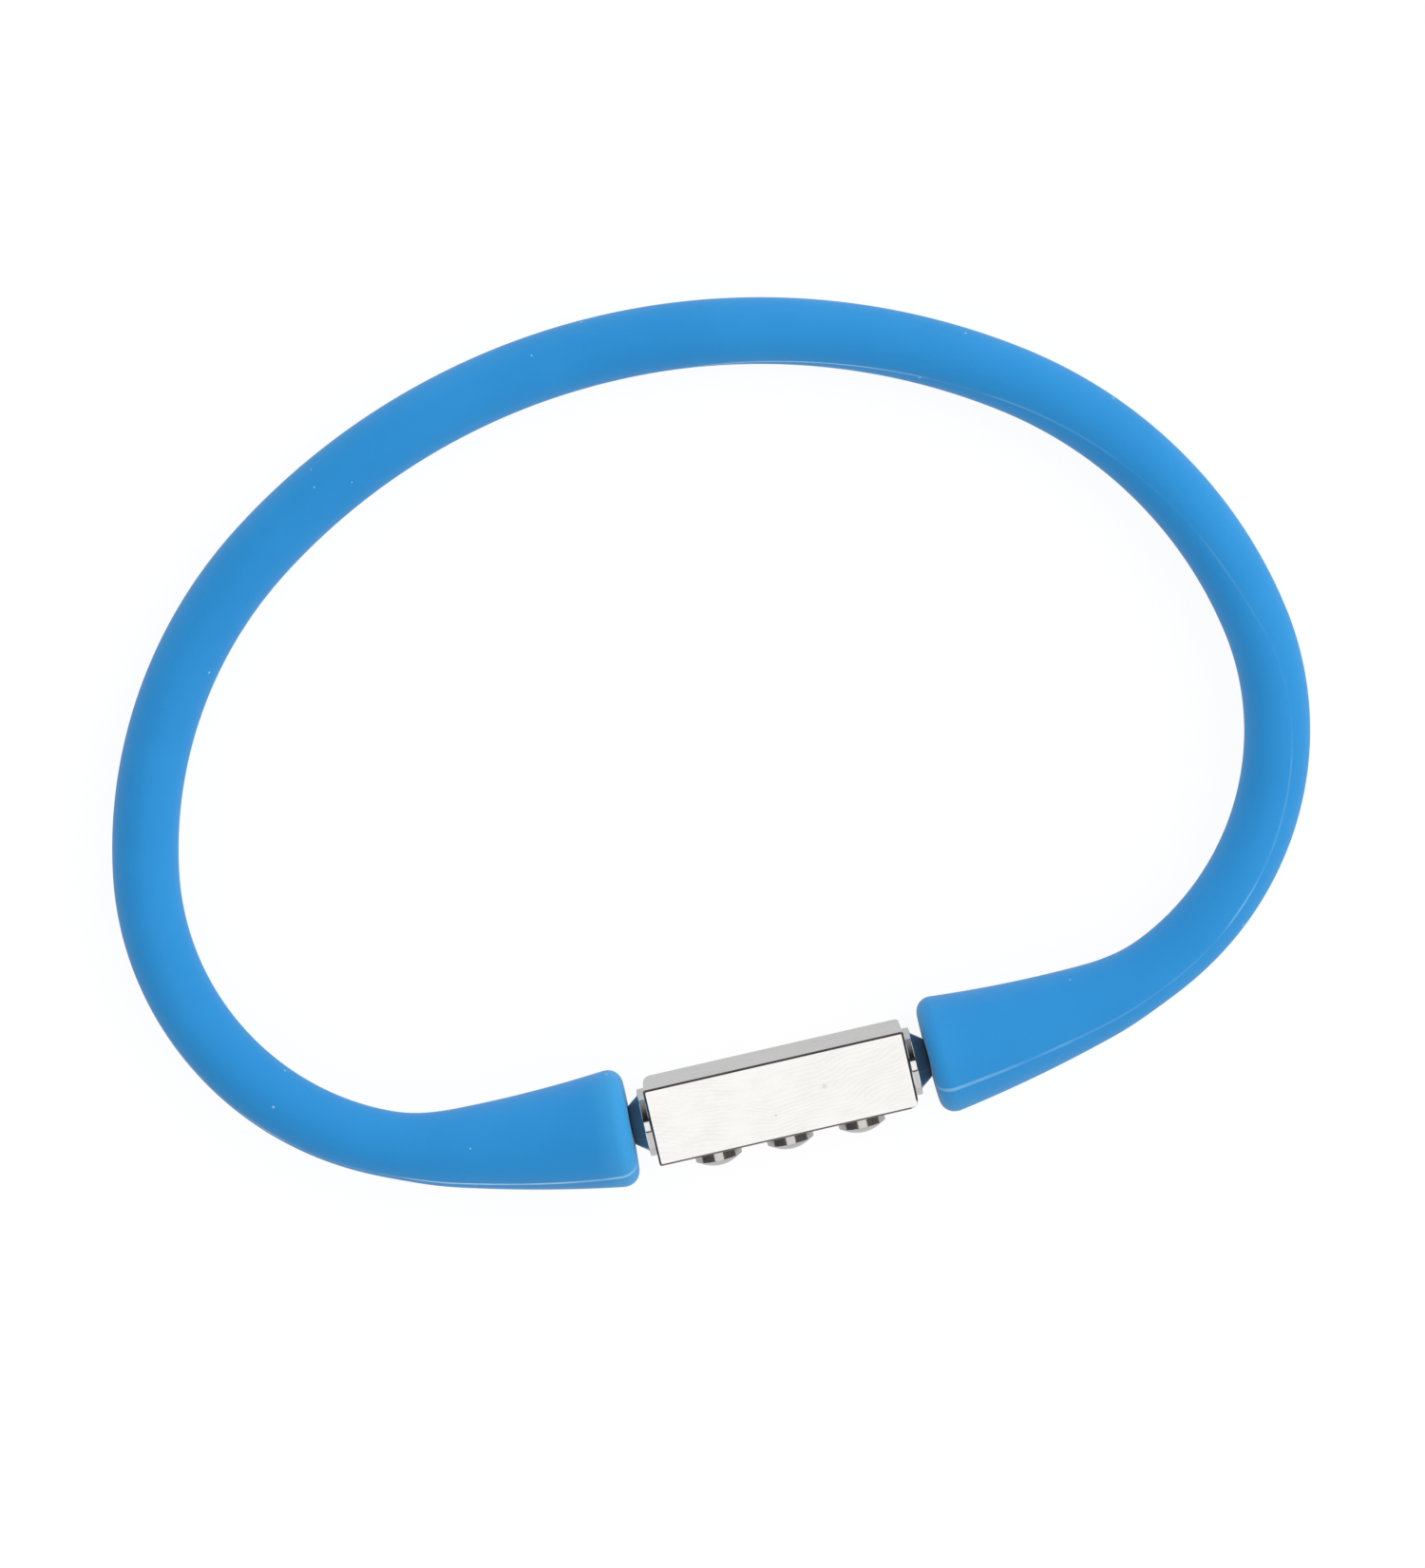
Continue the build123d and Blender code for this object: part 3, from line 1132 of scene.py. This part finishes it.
def mirrored_studio(graph, x, y, z):
    """For a direction, how far it looks into the soft box, and how bright the studio is there."""
    sideways, lengthways = x.apply("ABSOLUTE"), y.apply("ABSOLUTE")
    # Degrees from straight up, either way along the bar and towards the back of the loop.
    to_side = graph.maths("ARCTAN2", sideways, z) * (180 / pi)
    to_back = graph.maths("ARCTAN2", y, z) * (180 / pi)
    box = fall(to_side, 21.0, 22.5) * to_back.ramp(-20.5, -19.0) * fall(to_back, 10.5, 12.5)
    card = fall(to_back, -26.0, -24.0) * to_back.ramp(-100.0, -92.0) * fall(sideways, 0.55, 0.7)
    corner_cards = sideways.ramp(0.25, 0.40) * lengthways.ramp(0.30, 0.45) * z.ramp(0.05, 0.15)
    corner_level = x * 0.4 + 0.8
    room = ROOM_LEVEL + to_back.ramp(30.0, 88.0) * WALL_LEVEL
    return box, box * BOX_LEVEL + card * CARD_LEVEL + corner_cards * corner_level + room


print("the soft box is", round(BOX_LEVEL / CARD_LEVEL, 1), "times as bright as the card")

# %% World and lamp
TENT_LEVEL, TENT_TO_RIGHT, TENT_TO_BACK = 0.98, 0.40, 0.19
BACKDROP_LEVEL = 0.9
WHITE, WARM_WHITE = (1, 1, 1, 1), (1.0, 0.985, 0.955, 1)


def studio_world():
    world = bpy.data.worlds.new("studio")
    bpy.context.scene.world = world
    world.use_nodes = True
    world.node_tree.nodes.clear()
    graph = Graph(world.node_tree)
    direction = graph.node("ShaderNodeTexCoord")["Generated"]
    part = graph.node("ShaderNodeSeparateXYZ", None, {"Vector": direction})
    x, y, z = part["X"], part["Y"], part["Z"]
    box, mirrored = mirrored_studio(graph, x, y, z)
    tent = TENT_LEVEL + x * TENT_TO_RIGHT + y * TENT_TO_BACK
    rays = graph.node("ShaderNodeLightPath")
    level = tent + (mirrored - tent) * rays["Is Glossy Ray"]
    level = level + (BACKDROP_LEVEL - level) * rays["Is Camera Ray"]
    warmth = graph.mix(box * rays["Is Glossy Ray"], WHITE, WARM_WHITE)
    shader = graph.node("ShaderNodeBackground", None, {"Color": warmth, "Strength": level})
    graph.node("ShaderNodeOutputWorld", None, {"Surface": shader["Background"]})
    print("world made")


def soft_lamp(name, place, width, power):
    """A round lamp that is aimed at the origin. Its own shape isn't mirrored in the metal."""
    data = bpy.data.lights.new(name, "AREA")
    data.shape, data.size, data.energy = "DISK", width, power
    lamp = add_object(name, data)
    lamp.location = place
    lamp.rotation_mode = "QUATERNION"
    lamp.rotation_quaternion = (-Vector(place)).to_track_quat("-Z", "Y")
    lamp.visible_glossy = False
    print(name, "is", round(Vector(place).length, 2), "m away")


studio_world()
soft_lamp("right_soft_light", (0.30, 0.12, 0.35), width=0.30, power=0.35)

# %% [markdown]
# ## Camera
#
# The camera looks down on the band from nearly straight above, from a long way off for its size, as
# is usual for a small product. It is rolled a little, so that the bar rises to the right.

# %% Camera
CAMERA_LEAN = radians(7.64)       # from straight above, towards the back of the loop
CAMERA_ROLL = radians(12.9)       # the bar rises to the right by this
CAMERA_DISTANCE = 290.7 * MM
CAMERA_AIM = bar_centre + Vector((0.2, 19.45, 0)) * MM
SENSOR_WIDTH, LENS = 36.0, 110.0


def make_camera():
    across = Vector((1, 0, 0))
    up = Vector((0, cos(CAMERA_LEAN), -sin(CAMERA_LEAN)))
    back = Vector((0, sin(CAMERA_LEAN), cos(CAMERA_LEAN)))
    right = across * cos(CAMERA_ROLL) - up * sin(CAMERA_ROLL)
    top = across * sin(CAMERA_ROLL) + up * cos(CAMERA_ROLL)
    data = bpy.data.cameras.new("camera")
    data.sensor_width, data.lens = SENSOR_WIDTH, LENS
    data.clip_start, data.clip_end = 0.01, 10.0
    camera = add_object("camera", data)
    turn = Matrix((right, top, back)).transposed().to_4x4()
    camera.matrix_world = Matrix.Translation(CAMERA_AIM + back * CAMERA_DISTANCE) @ turn
    bpy.context.scene.camera = camera
    print("camera at", [round(part, 4) for part in camera.location])


make_camera()
bpy.context.scene.view_settings.view_transform = "Standard"
